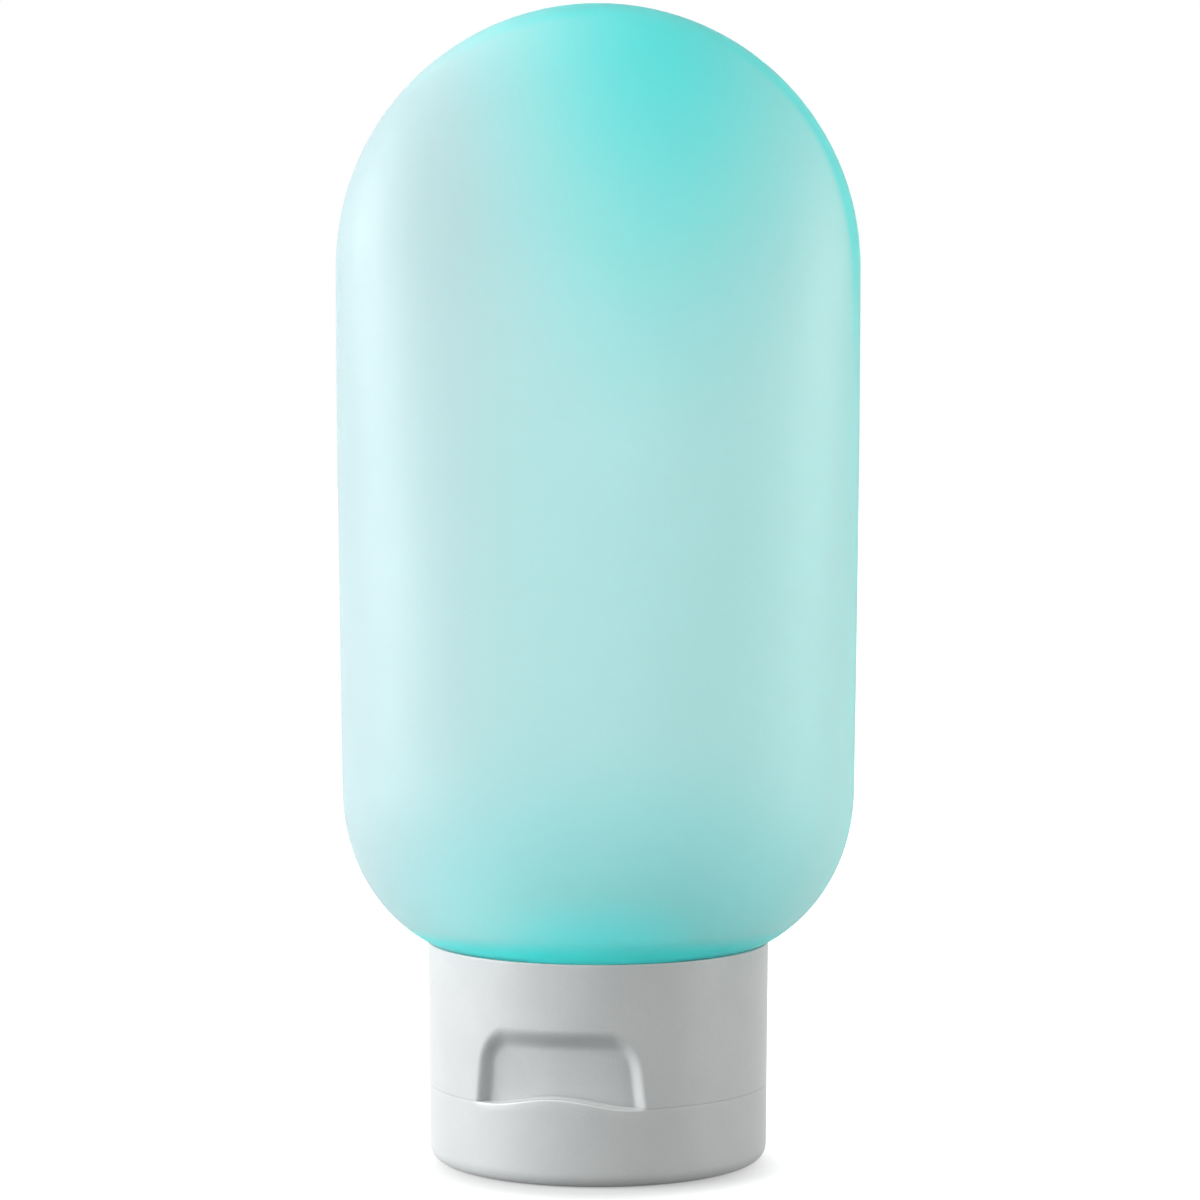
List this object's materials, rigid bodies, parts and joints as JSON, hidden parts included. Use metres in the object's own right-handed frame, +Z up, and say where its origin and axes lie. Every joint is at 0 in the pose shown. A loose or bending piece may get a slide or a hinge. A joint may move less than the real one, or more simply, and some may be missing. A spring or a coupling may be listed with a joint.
{
  "type": "travel squeeze bottle",
  "caption": "Soft oval squeeze bottle with a round crown, standing upside down on a screw-on flip-top cap with a thumb recess.",
  "frame": {"origin": "middle of the lid's flat outer face, on which the bottle stands, which is the bottom centre of the bounding box", "axes": "+Z up from the cap to the crown, -Y out of the bottle's wide front face, +X to its right as seen from the front"},
  "size_m": [0.058, 0.0418, 0.1284],
  "materials": {
    "teal_silicone": "frosted translucent silicone, matte",
    "neck_plastic": "natural white polypropylene, satin",
    "gasket_rubber": "soft matte seal rubber",
    "cap_plastic": "light grey moulded polypropylene, fine matte",
    "valve_silicone": "clear white silicone, soft sheen",
    "pin_steel": "drawn stainless wire"
  },
  "bodies": {
    "bottle": {"bottle_body": "teal_silicone", "neck_ring": "neck_plastic"},
    "gasket": {"neck_gasket": "gasket_rubber"},
    "cap": {"cap_base": "cap_plastic", "slit_valve": "valve_silicone", "valve_retainer": "neck_plastic", "hinge_pin": "pin_steel"},
    "lid": {"flip_lid": "cap_plastic", "lid_seal": "valve_silicone"}
  },
  "joints": [
    {"name": "cap_lift", "type": "slide", "parent": "bottle", "child": "gasket", "axis": [0, 0, -1], "range_m": [0, 0.0081]},
    {"name": "cap_turn", "type": "hinge", "parent": "gasket", "child": "cap", "pos_m": [0, 0, 0], "axis": [0, 0, -1], "range_deg": [0, 720]},
    {"name": "lid_hinge", "type": "hinge", "parent": "cap", "child": "lid", "pos_m": [0.00472, 0.01836, 0.00865], "axis": [0.9686, -0.2487, 0], "range_deg": [0, 150]}
  ],
  "couplings": [
    {"joint": "cap_lift", "follows": "cap_turn", "m_per_rad": 0.00063662}
  ]
}
